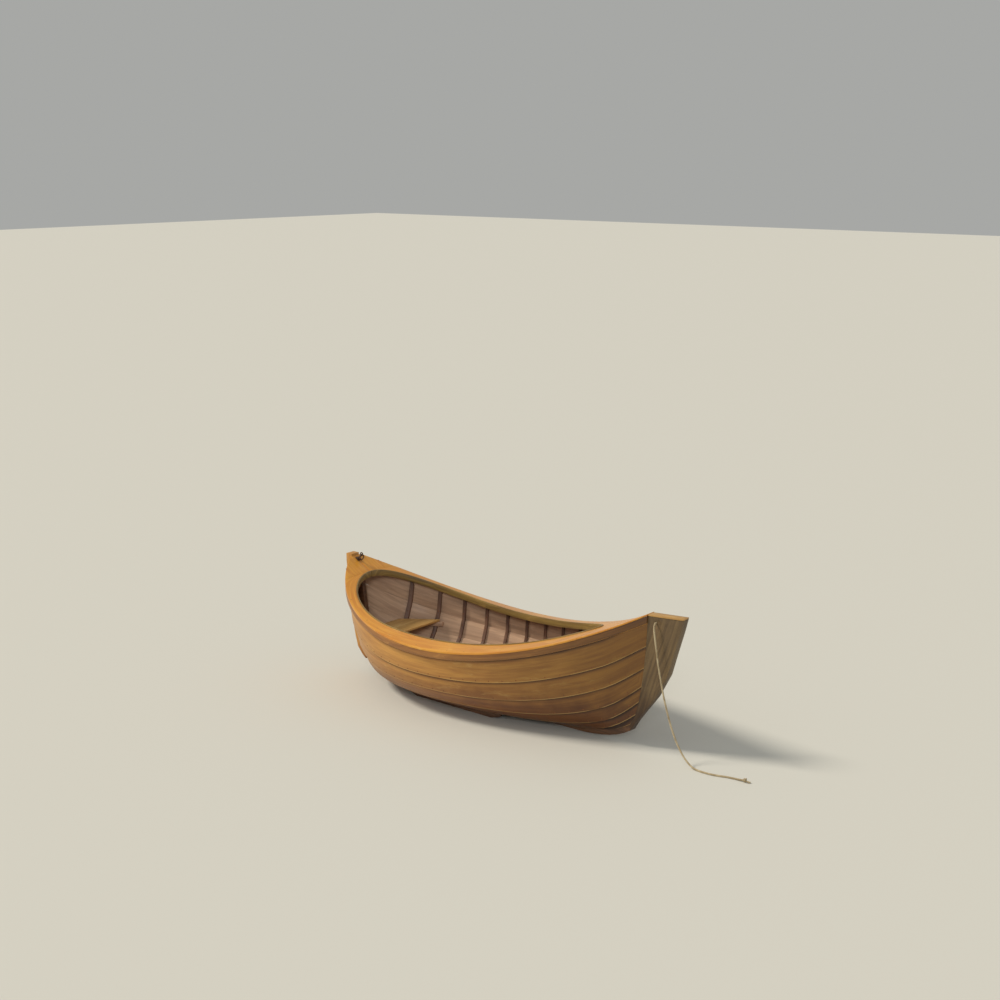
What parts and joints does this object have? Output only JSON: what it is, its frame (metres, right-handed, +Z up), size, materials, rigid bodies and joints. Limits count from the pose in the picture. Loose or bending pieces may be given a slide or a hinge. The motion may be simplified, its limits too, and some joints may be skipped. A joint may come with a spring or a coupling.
{
  "type": "decked clinker canoe",
  "caption": "Small double-ended wooden canoe with lapped planks, decked ends, an egg-shaped cockpit, a stern seat and a bow painter rope.",
  "frame": {"origin": "on the floor under the middle of the boat's length and beam, without the rope", "axes": "+X to the bow, +Y to port, +Z up"},
  "size_m": [3.5425, 1.1724, 0.948],
  "materials": {
    "planking": "weathered varnished planks",
    "backbone": "dark oiled wood",
    "stem_timber": "varnished wood, grain upright",
    "post_timber": "pale varnished wood",
    "cap_timber": "pale worn wood",
    "frame_timber": "plain wood",
    "deck_paint": "orange-gold varnish",
    "rail_paint": "brown varnish",
    "rib_timber": "dark steamed ribs",
    "coaming_paint": "olive brown paint",
    "floor_board": "bare worn boards",
    "seat_board": "worn tan board",
    "dark_iron": "dark iron",
    "drain_bronze": "dull bronze",
    "bung_rubber": "black rubber",
    "rope_fibre": "twisted natural rope"
  },
  "bodies": {
    "hull": {"keel": "backbone", "hog": "backbone", "bow_stem": "stem_timber", "stem_cap": "cap_timber", "bow_apron": "backbone", "stern_post": "post_timber", "stern_apron": "backbone", "port_strake_1": "planking", "port_strake_2": "planking", "port_strake_3": "planking", "port_strake_4": "planking", "port_strake_5": "planking", "port_strake_6": "planking", "starboard_strake_1": "planking", "starboard_strake_2": "planking", "starboard_strake_3": "planking", "starboard_strake_4": "planking", "starboard_strake_5": "planking", "starboard_strake_6": "planking", "port_bilge_keel": "backbone", "starboard_bilge_keel": "backbone", "port_rub_rail": "rail_paint", "starboard_rub_rail": "rail_paint", "rib_1": "rib_timber", "rib_2": "rib_timber", "rib_3": "rib_timber", "rib_4": "rib_timber", "rib_5": "rib_timber", "rib_6": "rib_timber", "rib_7": "rib_timber", "rib_8": "rib_timber", "rib_9": "rib_timber", "rib_10": "rib_timber", "port_beam_shelf": "frame_timber", "starboard_beam_shelf": "frame_timber", "fore_deck_beam": "frame_timber", "aft_deck_beam": "frame_timber", "port_fore_deck": "deck_paint", "starboard_fore_deck": "deck_paint", "port_side_deck": "deck_paint", "starboard_side_deck": "deck_paint", "port_aft_deck": "deck_paint", "starboard_aft_deck": "deck_paint", "port_coaming": "coaming_paint", "starboard_coaming": "coaming_paint", "floor_timber_1": "backbone", "floor_timber_2": "backbone", "floor_timber_3": "backbone", "centre_board": "floor_board", "port_board": "floor_board", "starboard_board": "floor_board", "stern_seat": "seat_board", "seat_cleats": "frame_timber", "ring_bolt": "dark_iron", "drain_socket": "drain_bronze", "painter_rope": "rope_fibre", "painter_knot": "rope_fibre", "painter_end_knot": "rope_fibre"},
    "ring": {"mooring_ring": "dark_iron"},
    "bung": {"drain_bung": "bung_rubber"}
  },
  "joints": [
    {"name": "ring_swing", "type": "hinge", "parent": "hull", "child": "ring", "pos_m": [-1.38775, 0, 0.88817], "axis": [0, 1, 0], "range_deg": [-150, 20]},
    {"name": "bung_pull", "type": "slide", "parent": "hull", "child": "bung", "axis": [0.0078, 0.102, 0.9948], "range_m": [0, 0.04]}
  ]
}
